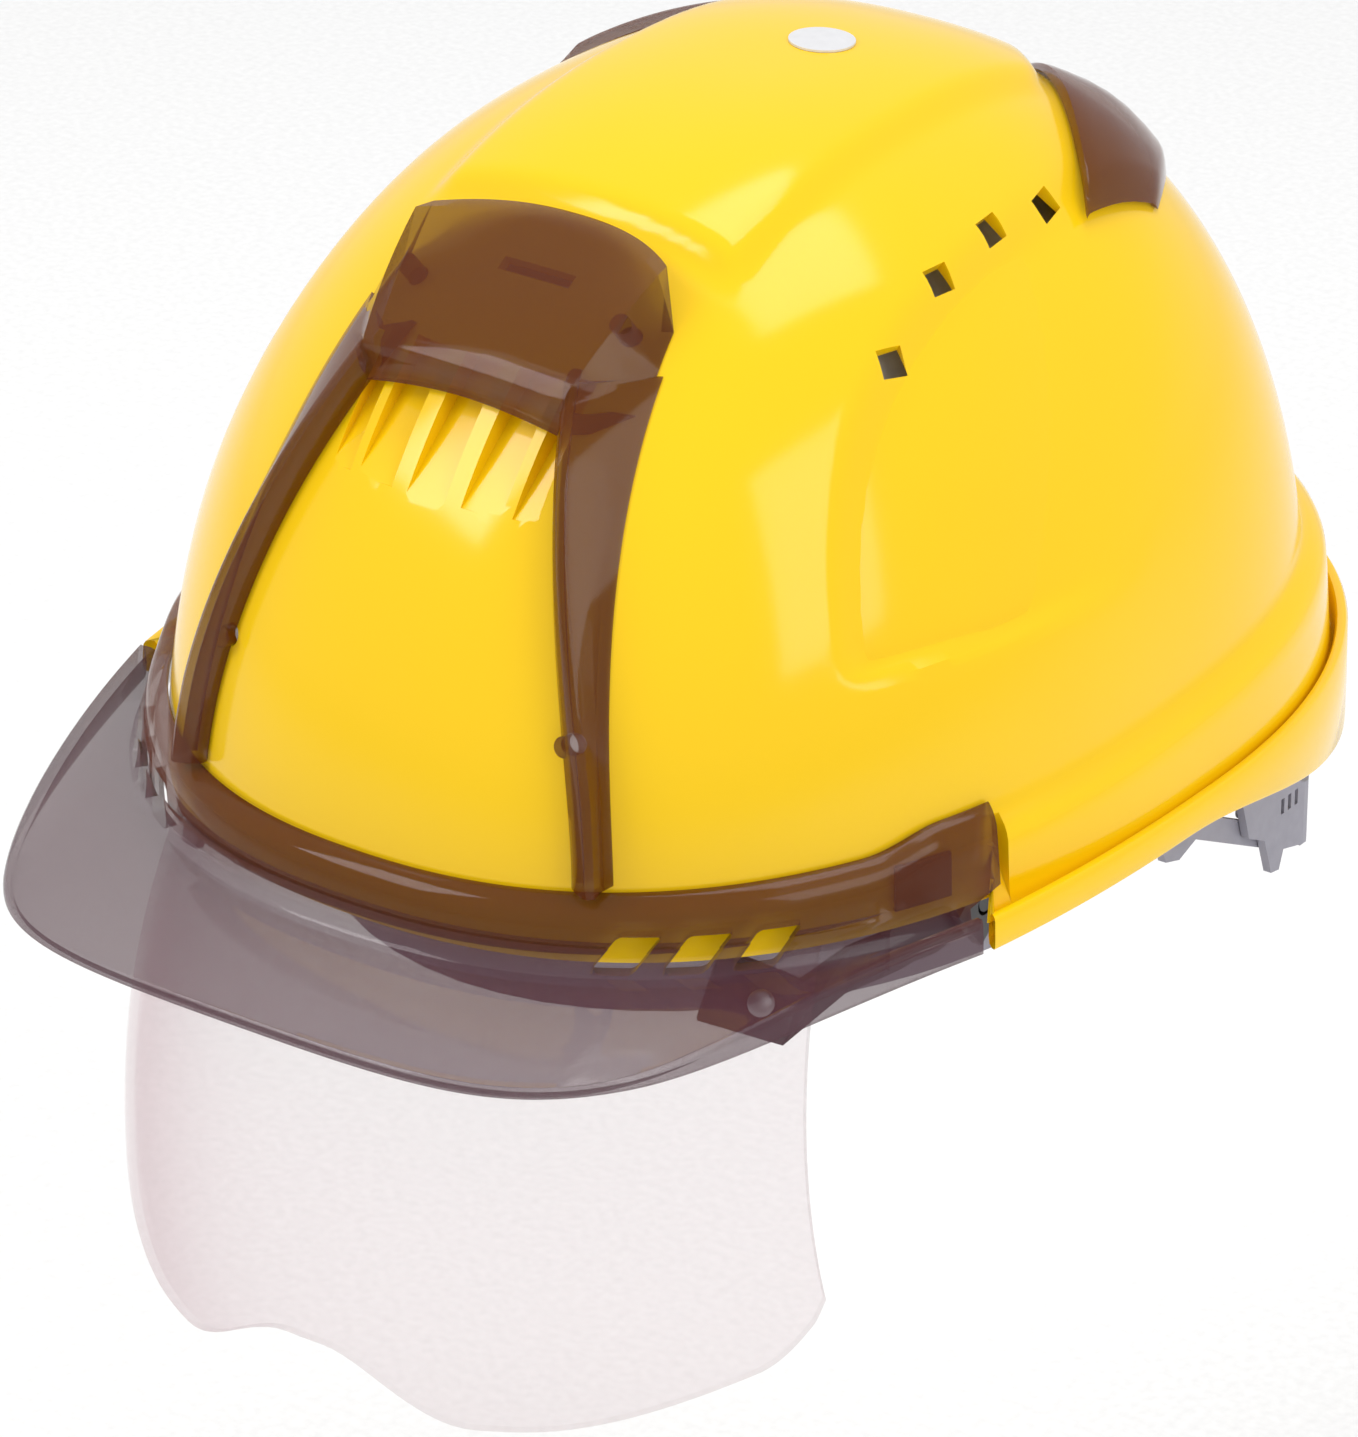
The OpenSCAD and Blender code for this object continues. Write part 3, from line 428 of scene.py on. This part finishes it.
def make_visor():
    cols = [visor_col(t) for t in np.linspace(-1, 1, 161)]
    visor = sheet_solid("visor_skin", np.array([c[0] for c in cols]), np.array([c[1] for c in cols]), 32)
    cutters = []
    for s in (-1, 1):
        for k in range(3):
            a = -66 + 5.6 * k
            p = dome_at(a, 33.6, 4)
            lean = Matrix(((1, 0, 0, 0), (-0.75, 1, 0, 0), (0, 0, 1, 0), (0, 0, 0, 1)))
            turn = aimed((cosd(a), sind(a), 0))
            flip = Matrix.Diagonal((s, 1, 1, 1))
            c = box_at((0, 0, 0), (6.6, 7.9, 12), lean)
            round_box(c, 1.1)
            c.data.transform(turn)
            c.data.transform(Matrix.Translation([v * MM for v in p]))
            c.data.transform(flip)
            tidy_normals(c)
            cutters.append(c)
    cut(visor, cutters)
    shade(visor, 32)
    return visor


def round_box(obj, width):
    mod = obj.modifiers.new("round", "BEVEL")
    mod.width, mod.segments, mod.limit_method = width * MM, 4, "ANGLE"
    bake(obj)


# ---------- vent covers ----------
def leg_in(z):
    return 42.2 - 20.7 * (np.maximum(0, z - 43.5) / 75) ** 1.5


def leg_out(z):
    return 48.4 - 17 * (np.maximum(0, z - 43) / 91) ** 1.28


def bend(v, p):
    return mix(p[0], p[1], v / 0.3) if v < 0.3 else mix(p[1], p[2], (v - 0.3) / 0.7)


def top_rise(k, v):
    side = mix(6, 8, v)
    centre = mix(6, 3.2, float(smooth(0.4, 1, v)))
    return mix(1.6, mix(centre, side, (abs(k) / 0.93) ** 2.5), float(smooth(0, 0.3, v)))


def top_pt(k, v, depth, inset):
    if abs(k) > 0.95:
        x = (bend(v, (26, 33.2, 30.5)) - inset) * (1 if k > 0 else -1)
        return front_at(x, bend(v, (119, 122.5, 133)), GAP)
    x = (bend(v, (21.4, 22.8, 27.3)) - inset * 0.5) * k / 0.93
    z = bend(v, (121.2, 128.4, 144.8)) - bend(v, (2.4, 1.3, 1.2)) * (k / 0.93) ** 2
    return front_at(x, z, top_rise(k, v) - depth)


def make_front_cover():
    parts = []
    zs = np.linspace(44.6, 127.4, 60)
    for s in (-1, 1):
        outer, inner = [], []
        for z in zs:
            i, o = float(leg_in(z)), float(leg_out(z))
            r = min(o - 0.8, i + mix(5.6, 4.4, float(smooth(60, 120, z))))
            out = ((i, GAP), (i + 0.1, 1), (i + 0.5, 1.9), (mix(i, r, 0.5), 4.2), (r - 0.5, 5.75), (r, 6),
                   (r + 0.6, 5.95), (r + 1.1, 5.6),
                   (mix(r, o, 0.6), 3.2), (o, GAP))
            ins = ((i + 1.6, GAP), (i + 1.7, 0.6), (i + 1.9, 1.1), (mix(i, r, 0.6) + 0.8, 2.6),
                   (r - 0.2, 3.6), (r, 3.7), (r + 0.3, 3.6), (r + 0.5, 3.3),
                   (mix(r, o, 0.5), 2), (o - COVER_WALL, GAP))
            outer.append([front_at(s * x, z, d) for x, d in out])
            inner.append([front_at(s * x, z, d) for x, d in ins])
        parts.append(sheet_solid("leg", np.array(outer), np.array(inner), 30))
    ks = [-1] + list(np.linspace(-0.93, 0.93, 41)) + [1]
    vs = [0, 0.05, 0.1, 0.15, 0.2, 0.25, 0.3, 0.36, 0.44, 0.55, 0.66, 0.78, 0.9, 0.97, 1]
    outer = np.array([[top_pt(k, v, 0, 0) for v in vs] for k in ks])
    inner = np.array([[top_pt(k, v, COVER_WALL - 0.6 * (1 - float(smooth(0, 0.3, v))),
                              COVER_WALL) for v in vs] for k in ks])
    parts.append(sheet_solid("top", outer, inner, 30))
    for x, z in COVER_PEGS:
        parts.append(rod(2, 9.2 if z > 100 else 7.4, front_at(x, z, 0), front_dir(x, z), -4))
    return join_solid("front_cover_skin", parts, 30)


def join_solid(name, parts, angle):
    base = parts[0]
    for p in parts[1:]:
        mod = base.modifiers.new("join", "BOOLEAN")
        mod.operation, mod.solver, mod.object = "UNION", "MANIFOLD", p
        bake(base)
        bpy.data.objects.remove(p, do_unlink=True)
    base.name = name
    shade(base, angle)
    return base


def make_rear_cover():
    xs = np.linspace(-62, 62, 91)
    vs = np.array([0, 0.015, 0.04, 0.08, 0.2, 0.35, 0.5, 0.65, 0.8, 0.92, 0.96, 0.985, 1])
    lift = np.array([0, 0.5, 0.85, 1, 1.15, 1.3, 1.35, 1.3, 1.15, 1, 0.85, 0.5, 0])
    outer, inner = [], []
    for x in xs:
        y0, y1 = rear_start(x), 96 - 55 * (abs(x) / 62) ** 2.4
        e = (0.5 + 0.5 * smooth(15, 42, abs(x))) * (1 - 0.75 * smooth(0.95, 1, abs(x) / 62))
        u = mix(y0, y1, vs)
        outer.append(point(x, u, top_z(x, u, 0.6 + 2.6 * lift * e)))
        xi = x * 0.985
        u = mix(y0, y1, mix(0.04, 0.96, vs))
        inner.append(point(xi, u, top_z(xi, u, 0.35 + 1.0 * np.minimum(1, lift) * e)))
    cover = sheet_solid("rear_cover_skin", np.array(outer), np.array(inner), 35)
    pegs = [rod(2, 5.6, (x, y, float(top_z(x, y, 0))), (x / 90, y / 90, 1), -3.6) for x, y in REAR_PEGS]
    return join_solid("rear_cover_skin", [cover] + pegs, 35)


# ---------- face shield ----------
def shield_pt(x, f, d):
    """A point of the face shield, f degrees above its axis and d outside its surface."""
    g = -2.25 * SHIELD_DROP / 80 * (np.abs(x) / 80) ** 1.25
    n = np.hypot(g, 1)
    q = SHIELD_R - SHIELD_DROP * (np.abs(x) / 80) ** 2.25 + d / n
    return point(x - np.sign(x) * g * d / n, AXIS_Y - q * cosd(f), AXIS_Z + q * sind(f))


def make_face_shield():
    cols, rows = 121, 60
    outer, inner = [], []
    for i in range(cols):
        k = math.sin(math.pi * (i / (cols - 1) - 0.5))
        x0 = SHIELD_HALF * k
        u = abs(x0)
        low = (-0.4 - 4.5 * float(smooth(4, 34, u)) + 6.2 * max(0, (u - 42) / 42) ** 2
               + 5 * max(0, (u - 75) / 8.6) ** 2)
        high = 30.8 + 9 * (u / 80) ** 2.4
        f = mix(low, high, np.linspace(0, 1, rows))
        x = np.minimum(SHIELD_HALF, 84.8 - 0.325 * f) * k
        outer.append(shield_pt(x, f, 0))
        inner.append(shield_pt(x, f, -SHIELD_THICK))
    shield = sheet_solid("face_shield_skin", np.array(outer), np.array(inner), 40)
    holes = []
    for s in (-1, 1):
        p = rivet_line(s, 0)
        holes.append(rod(RIVET_HOLE, 12, p, rivet_line(s, 1) - p, -6))
    cut(shield, holes)
    shade(shield, 40)
    return shield


# ---------- materials ----------
class Val:
    """A number that varies over a surface; sums and products of it add Math nodes."""

    def __init__(self, graph, socket):
        self.graph, self.socket = graph, socket

    def _math(self, op, a, b):
        return Val(self.graph, self.graph.node("ShaderNodeMath", {"operation": op}, {0: a, 1: b}).outputs[0])

    def __add__(self, o): return self._math("ADD", self, o)
    def __radd__(self, o): return self._math("ADD", o, self)
    def __sub__(self, o): return self._math("SUBTRACT", self, o)
    def __rsub__(self, o): return self._math("SUBTRACT", o, self)
    def __mul__(self, o): return self._math("MULTIPLY", self, o)
    def __rmul__(self, o): return self._math("MULTIPLY", o, self)
    def __pow__(self, o): return self._math("POWER", self, o)


class Graph:
    """One material's node tree."""

    def __init__(self, name, **shader):
        self.material = bpy.data.materials.new(name)
        self.material.use_nodes = True
        self.tree = self.material.node_tree
        self.shader = self.tree.nodes["Principled BSDF"]
        self.put(self.shader, shader)

    def put(self, node, values):
        for key, value in values.items():
            socket = node.inputs[key if isinstance(key, int) else key.replace("_", " ")]
            if isinstance(value, Val):
                self.tree.links.new(value.socket, socket)
            elif isinstance(value, bpy.types.NodeSocket):
                self.tree.links.new(value, socket)
            else:
                socket.default_value = value

    def node(self, kind, settings=None, values=None):
        node = self.tree.nodes.new(kind)
        for key, value in (settings or {}).items():
            if key == "stops":
                for i, (place, colour) in enumerate(value):
                    stop = node.color_ramp.elements[i] if i < 2 else node.color_ramp.elements.new(place)
                    stop.position, stop.color = place, colour
            else:
                setattr(node, key, value)
        self.put(node, values or {})
        return node

    def val(self, *args, out=0):
        return Val(self, self.node(*args).outputs[out])

    def coords(self):
        return self.node("ShaderNodeTexCoord").outputs["Object"]

    def noise(self, scale, detail=2.0, rough=0.5):
        return self.val("ShaderNodeTexNoise", None,
                        {"Vector": self.coords(), "Scale": scale, "Detail": detail, "Roughness": rough})

    def bump(self, height, strength, distance=0.0002):
        self.put(self.shader, {"Normal": self.node("ShaderNodeBump", None,
                                                   {"Strength": strength, "Distance": distance,
                                                    "Height": height}).outputs[0]})

    def blend(self, factor, a, b):
        node = self.node("ShaderNodeMix", {"data_type": "RGBA"})
        for key, value in ((0, factor), (6, a), (7, b)):
            self.put(node, {key: value})
        return node.outputs[2]


def yellow_plastic():
    g = Graph("yellow_plastic", Base_Color=(0.93, 0.58, 0.002, 1), Roughness=0.13, IOR=1.45,
              Specular_IOR_Level=0.45)
    cloud = g.noise(18.0)
    tint = g.blend(cloud, (0.93, 0.59, 0.002, 1), (0.90, 0.555, 0.002, 1))
    g.put(g.shader, {"Base_Color": tint, "Roughness": 0.1 + cloud * 0.05})
    g.bump(g.noise(260.0), 0.03)
    return g.material


def smoked_plastic():
    g = Graph("smoked_plastic", Base_Color=(0.10, 0.03, 0.04, 1), Roughness=0.07, IOR=1.5,
              Specular_IOR_Level=0.4)
    facing = Val(g, g.node("ShaderNodeLayerWeight", None, {"Blend": 0.35}).outputs["Facing"])
    height = Val(g, g.node("ShaderNodeSeparateXYZ", None, {"Vector": g.coords()}).outputs["Z"])
    # painted show-through: the parts that lie against the yellow shell are painted browner than the free
    # brim, with a little more alpha, standing in for the yellow shell seen through the smoked plastic
    band = g.val("ShaderNodeMapRange", {"interpolation_type": "SMOOTHSTEP"},
                 {"Value": height, "From Min": 0.030, "From Max": 0.037})
    g.put(g.shader, {"Base_Color": g.blend(band, (0.095, 0.035, 0.05, 1), (0.13, 0.024, 0.002, 1)),
                     "Alpha": 0.47 + 0.04 * band + 0.5 * facing ** 1.6})
    return g.material


def clear_plastic():
    g = Graph("clear_plastic", Base_Color=(0.36, 0.12, 0.17, 1), Roughness=0.04, IOR=1.5)
    facing = Val(g, g.node("ShaderNodeLayerWeight", None, {"Blend": 0.3}).outputs["Facing"])
    g.put(g.shader, {"Alpha": 0.11 + 0.7 * facing ** 2.2})
    return g.material


def plain(name, colour, rough, bump=0.0, scale=400.0, metal=0.0):
    g = Graph(name, Base_Color=(*colour, 1), Roughness=rough, Metallic=metal)
    grain = g.noise(scale)
    dark = tuple(c * 0.85 for c in colour)
    g.put(g.shader, {"Base_Color": g.blend(grain, (*colour, 1), (*dark, 1)),
                     "Roughness": rough - 0.06 + grain * 0.12})
    if bump:
        g.bump(grain, bump)
    return g.material


def foam():
    g = Graph("bead_foam", Base_Color=(0.86, 0.86, 0.84, 1), Roughness=0.75)
    cells = g.val("ShaderNodeTexVoronoi", None, {"Vector": g.coords(), "Scale": 320.0})
    g.put(g.shader, {"Base_Color": g.blend(cells, (0.88, 0.88, 0.86, 1), (0.74, 0.74, 0.72, 1))})
    g.bump(cells, 0.5, 0.0004)
    return g.material


def paint(obj, material):
    obj.data.materials.clear()
    obj.data.materials.append(material)


def pad_skin(node, name, puff):
    """A pad rounded from its plain solid, with a quilted face that stays inside it."""
    obj = bpy.data.objects.new(name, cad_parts[node].data.copy())
    bpy.context.scene.collection.objects.link(obj)
    for kind, values in (("REMESH", {"mode": "VOXEL", "voxel_size": 0.0011}),
                         ("SMOOTH", {"factor": 0.6, "iterations": 9}),
                         ("SUBSURF", {"levels": 1, "render_levels": 1})):
        mod = obj.modifiers.new(kind.lower(), kind)
        for key, value in values.items():
            setattr(mod, key, value)
    bake(obj)
    mesh = obj.data
    co = np.empty(len(mesh.vertices) * 3)
    no = np.empty(len(mesh.vertices) * 3)
    mesh.vertices.foreach_get("co", co)
    mesh.vertices.foreach_get("normal", no)
    co, no = co.reshape(-1, 3), no.reshape(-1, 3)
    along = np.arctan2(co[:, 1], co[:, 0]) * 0.075 if name != "crown_pad_skin" else co[:, 0]
    across = co[:, 2] if name != "crown_pad_skin" else co[:, 1]
    seam = np.minimum(np.abs(np.sin(np.pi * (along + across) / 0.013)),
                      np.abs(np.sin(np.pi * (along - across) / 0.013)))
    co -= no * (puff * (1 - np.minimum(1, seam / 0.35)) ** 2)[:, None] * MM
    mesh.vertices.foreach_set("co", co.ravel())
    mesh.update()
    mesh.shade_smooth()
    return obj


def add_socket(group, name, kind, way="INPUT"):
    return group.interface.new_socket(name=name, in_out=way, socket_type=kind)


def repeated(name, item, spots, material):
    """Copies of item on the given points, turned to the given angles, made by a node group and baked."""
    group = bpy.data.node_groups.new(name + "_set", "GeometryNodeTree")
    add_socket(group, "Points", "NodeSocketGeometry")
    add_socket(group, "Item", "NodeSocketObject")
    add_socket(group, "Size", "NodeSocketFloat")
    add_socket(group, "Finish", "NodeSocketMaterial")
    add_socket(group, "Geometry", "NodeSocketGeometry", "OUTPUT")
    kinds = {"start": "NodeGroupInput", "info": "GeometryNodeObjectInfo",
             "turn": "GeometryNodeInputNamedAttribute", "place": "GeometryNodeInstanceOnPoints",
             "real": "GeometryNodeRealizeInstances", "finish": "GeometryNodeSetMaterial",
             "end": "NodeGroupOutput"}
    n = {key: group.nodes.new(kind) for key, kind in kinds.items()}
    n["turn"].data_type = "FLOAT_VECTOR"
    n["turn"].inputs["Name"].default_value = "turn"
    link = group.links.new
    link(n["start"].outputs["Points"], n["place"].inputs["Points"])
    link(n["start"].outputs["Item"], n["info"].inputs["Object"])
    link(n["info"].outputs["Geometry"], n["place"].inputs["Instance"])
    link(n["turn"].outputs["Attribute"], n["place"].inputs["Rotation"])
    link(n["start"].outputs["Size"], n["place"].inputs["Scale"])
    link(n["place"].outputs["Instances"], n["real"].inputs["Geometry"])
    link(n["real"].outputs["Geometry"], n["finish"].inputs["Geometry"])
    link(n["start"].outputs["Finish"], n["finish"].inputs["Material"])
    link(n["finish"].outputs["Geometry"], n["end"].inputs["Geometry"])
    mesh = bpy.data.meshes.new(name)
    mesh.from_pydata([[v * MM for v in place] for place, _ in spots], [], [])
    turn = mesh.attributes.new("turn", "FLOAT_VECTOR", "POINT")
    turn.data.foreach_set("vector", np.array([t for _, t in spots], float).ravel())
    obj = bpy.data.objects.new(name, mesh)
    bpy.context.scene.collection.objects.link(obj)
    mod = obj.modifiers.new("set", "NODES")
    mod.node_group = group
    for socket in group.interface.items_tree:
        value = {"Item": item, "Size": 1.0, "Finish": material}.get(socket.name)
        if value is not None and socket.in_out == "INPUT":
            mod[socket.identifier] = value
    bake(obj)
    bpy.data.objects.remove(item, do_unlink=True)
    shade(obj, 35)
    return obj


def turned_profile(name, profile, sides=48):
    """A closed solid of revolution about Z from (radius, height) pairs that start and end on the axis."""
    verts, faces = [(0, 0, profile[0][1])], []
    rings = profile[1:-1]
    for r, z in rings:
        verts += [(r * math.cos(2 * math.pi * i / sides), r * math.sin(2 * math.pi * i / sides),
                   z) for i in range(sides)]
    verts.append((0, 0, profile[-1][1]))
    for i in range(sides):
        j = (i + 1) % sides
        faces.append([0, 1 + j, 1 + i])
        for k in range(len(rings) - 1):
            a, b = 1 + k * sides, 1 + (k + 1) * sides
            faces.append([a + i, a + j, b + j, b + i])
        a = 1 + (len(rings) - 1) * sides
        faces.append([len(verts) - 1, a + i, a + j])
    return make_mesh(name, verts, faces, 35)


def make_screws():
    """Countersunk screws with a cross recess, from the track face outwards."""
    screw = turned_profile("screw",
                           [(0, 0.02), (2.65, 0.02), (2.8, 0.12), (1.5, 1.3), (1.3, 1.35), (1.3, 5),
                            (1.1, 5.2), (0, 5.2)])
    cut(screw, [box_at((0, 0, 0), (3.2, 0.6, 1.4)), box_at((0, 0, 0), (0.6, 3.2, 1.4))])
    spots = [((s * TRACK_IN, y, z), (0, s * math.pi / 2, 0)) for s in (-1, 1) for y, z in TRACK_SCREWS]
    return repeated("track_screws_skin", screw, spots, STEEL)


def rivet_line(s, d):
    """A point at distance d outside the shield, on the rivet of side s."""
    return shield_pt(np.array(s * RIVET_X), np.array(RIVET_F), d)


def make_rivets():
    """Domed rivets through the face shield into its arms."""
    rivet = turned_profile("rivet",
                           [(0, -4.8), (1.35, -4.8), (1.5, -4.6), (1.5, 0.15), (2.45, 0.15), (2.6, 0.25),
                            (2.6, 0.4), (2.35, 0.65), (1.8, 0.85),
                                     (0, 0.94)])
    spots = []
    for s in (-1, 1):
        p = rivet_line(s, 0)
        d = Vector(rivet_line(s, 1) - p).normalized()
        spots.append((p, (0, math.acos(d.z), math.atan2(d.y, d.x))))
    return repeated("shield_rivets_skin", rivet, spots, STEEL)


YELLOW, SMOKED, CLEAR = yellow_plastic(), smoked_plastic(), clear_plastic()
DARK = plain("dark_plastic", (0.025, 0.025, 0.028), 0.4, 0.1)
GREY = plain("harness_plastic", (0.30, 0.29, 0.34), 0.42, 0.08)
STEEL = plain("plain_steel", (0.62, 0.62, 0.64), 0.3, metal=1.0)
SILVER = plain("silver_sticker", (0.78, 0.78, 0.8), 0.35, metal=0.2)
KNIT = plain("knit_cloth", (0.05, 0.05, 0.055), 0.9, 0.6, 900.0)
FOAM = foam()

for make, node, slot, material in ((make_shell, "shell", "shell", YELLOW),
                                   (make_visor, "visor", "smoked", SMOKED),
                                   (make_front_cover, "front_vent_cover", "smoked", SMOKED),
                                   (make_rear_cover, "rear_vent_cover", "smoked", SMOKED),
                                   (make_face_shield, "face_shield", "clear", CLEAR)):
    piece = make()
    paint(piece, material)
    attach(piece, "shield" if node == "face_shield" else "cap")
    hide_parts(node)

for node, puff, fill in (("brow_pad", 0.7, 0.5), ("crown_pad", 0.6, 0.5), ("nape_pad", 0.7, 0.5)):
    pad = pad_skin(node, node + "_skin", puff)
    paint(pad, KNIT)
    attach(pad, "nape" if node == "nape_pad" else "cap")
    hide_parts(node)

for make, node, body in ((make_screws, "track_screws", "cap"), (make_rivets, "shield_rivets", "shield")):
    piece = make()
    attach(piece, body)
    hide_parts(node)

for node, material in (("visor_clips", DARK), ("crown_label", SILVER), ("shield_arm_left", DARK),
                       ("shield_arm_right", DARK),
                       ("shield_track_left", DARK), ("shield_track_right", DARK), 
                       ("impact_liner", FOAM), ("liner_buttons", DARK), ("cradle", GREY),
                       ("cradle_hub", GREY), ("headband", GREY),
                       ("nape_band", GREY), ("hanger_keys", GREY)):
    paint(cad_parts[node], material)

# ---------- floor, light and camera ----------
low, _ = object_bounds()
FLOOR_GAP = 0.16
bpy.ops.mesh.primitive_plane_add(size=12, location=(0, 0, low.z - FLOOR_GAP))
floor = bpy.context.object
floor.name = "floor"
paint(floor, plain("floor_white", (0.95, 0.95, 0.95), 0.9))

world = bpy.data.worlds.new("studio")
bpy.context.scene.world = world
world.use_nodes = True
world.node_tree.nodes["Background"].inputs[0].default_value = (1, 1, 1, 1)
world.node_tree.nodes["Background"].inputs[1].default_value = 0.75


def area(name, place, aim, size, power):
    light = bpy.data.lights.new(name, "AREA")
    light.shape, light.size, light.size_y, light.energy = "RECTANGLE", size[0], size[1], power
    obj = bpy.data.objects.new(name, light)
    obj.location = place
    obj.rotation_euler = (Vector(aim) - Vector(place)).to_track_quat("-Z", "Y").to_euler()
    bpy.context.scene.collection.objects.link(obj)


area("key", (-0.9, -1.3, 1.5), (0, 0, 0.05), (0.9, 0.9), 15)
area("fill", (1.6, -0.3, 0.9), (0, 0, 0.05), (0.8, 1.2), 8)
area("top", (0.1, 0.5, 1.8), (0, 0, 0.1), (1.2, 0.8), 10)

camera = bpy.data.cameras.new("camera")
camera.lens, camera.sensor_width, camera.sensor_fit = 195.4, 36.0, "AUTO"
camera.clip_start, camera.clip_end = 0.05, 50
eye = bpy.data.objects.new("camera", camera)
eye.location = (0.77652, -1.12158, 0.70115)
eye.rotation_euler = (Vector((0.00029, -0.02851, 0.02835)) - eye.location).to_track_quat("-Z", "Y").to_euler()
bpy.context.scene.collection.objects.link(eye)
bpy.context.scene.camera = eye
bpy.context.scene.view_settings.view_transform = "Standard"
